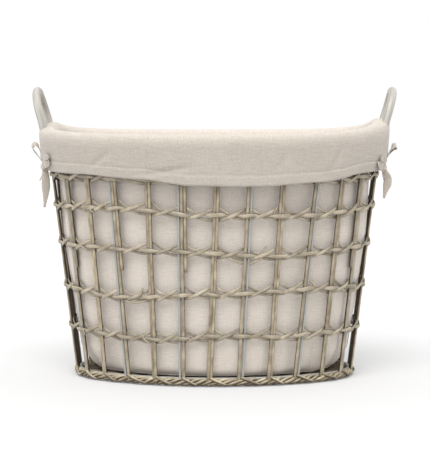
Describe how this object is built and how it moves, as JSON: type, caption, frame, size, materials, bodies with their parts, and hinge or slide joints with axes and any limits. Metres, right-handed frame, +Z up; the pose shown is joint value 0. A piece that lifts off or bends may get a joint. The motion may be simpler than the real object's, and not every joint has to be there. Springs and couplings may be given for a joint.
{
  "type": "laundry basket",
  "caption": "Oval open-weave willow laundry basket on a wire frame, with two bent cane handles and a linen liner folded over the rim and tied in a bow at each end.",
  "frame": {"origin": "centre of the foot, on the plane that the foot border rests on", "axes": "+X towards one handle, along the long axis of the oval; +Y towards the back; +Z up"},
  "size_m": [0.6214, 0.441, 0.4892],
  "materials": {
    "willow_rod": "peeled, grey-washed willow, satin",
    "painted_wire": "grey-blue painted steel wire, semi-matt",
    "split_cane": "split willow cane, grey-washed, satin",
    "border_rod": "willow rods, grey-washed, matt",
    "base_willow": "willow rods, grey-washed, matt",
    "handle_cane": "whitewashed bent cane, satin lacquer",
    "binding_willow": "flat willow skein",
    "steel_peg": "plain steel",
    "tie_tape": "plain woven linen, folded and sewn",
    "liner_linen": "plain woven linen and cotton, oatmeal"
  },
  "bodies": {
    "basket": {"base_ribs": "base_willow", "base_rods": "base_willow", "foot_border": "border_rod", "handle_binding_left": "binding_willow", "handle_binding_right": "binding_willow", "handle_left": "handle_cane", "handle_pegs": "steel_peg", "handle_right": "handle_cane", "rim_border": "willow_rod", "stake_01": "willow_rod", "stake_02": "willow_rod", "stake_03": "willow_rod", "stake_04": "willow_rod", "stake_05": "willow_rod", "stake_06": "willow_rod", "stake_07": "willow_rod", "stake_08": "willow_rod", "stake_09": "willow_rod", "stake_10": "willow_rod", "stake_11": "willow_rod", "stake_12": "willow_rod", "stake_13": "willow_rod", "stake_14": "willow_rod", "stake_15": "willow_rod", "stake_16": "willow_rod", "stake_17": "willow_rod", "stake_18": "willow_rod", "stake_19": "willow_rod", "stake_20": "willow_rod", "stake_21": "willow_rod", "stake_22": "willow_rod", "stake_23": "willow_rod", "stake_24": "willow_rod", "stake_25": "willow_rod", "stake_26": "willow_rod", "weave_row_1": "split_cane", "weave_row_2": "split_cane", "weave_row_3": "split_cane", "weave_row_4": "split_cane", "weave_row_5": "split_cane", "wire_foot_ring": "painted_wire", "wire_rim_ring": "painted_wire", "wire_uprights": "painted_wire"},
    "liner": {"cuff_back": "liner_linen", "cuff_flap_left_back": "liner_linen", "cuff_flap_left_front": "liner_linen", "cuff_flap_right_back": "liner_linen", "cuff_flap_right_front": "liner_linen", "cuff_front": "liner_linen", "liner_back_panel": "liner_linen", "liner_base_panel": "liner_linen", "liner_front_panel": "liner_linen", "tie_knot_left": "tie_tape", "tie_knot_right": "tie_tape", "tie_left_back": "tie_tape", "tie_left_front": "tie_tape", "tie_right_back": "tie_tape", "tie_right_front": "tie_tape"}
  },
  "joints": [
    {"name": "liner_lift", "type": "slide", "parent": "basket", "child": "liner", "axis": [0, 0, 1], "range_m": [0, 0.5], "deforming": ["cuff_flap_left_back", "cuff_flap_left_front", "cuff_flap_right_back", "cuff_flap_right_front", "tie_knot_left", "tie_knot_right", "tie_left_back", "tie_left_front", "tie_right_back", "tie_right_front"]}
  ]
}
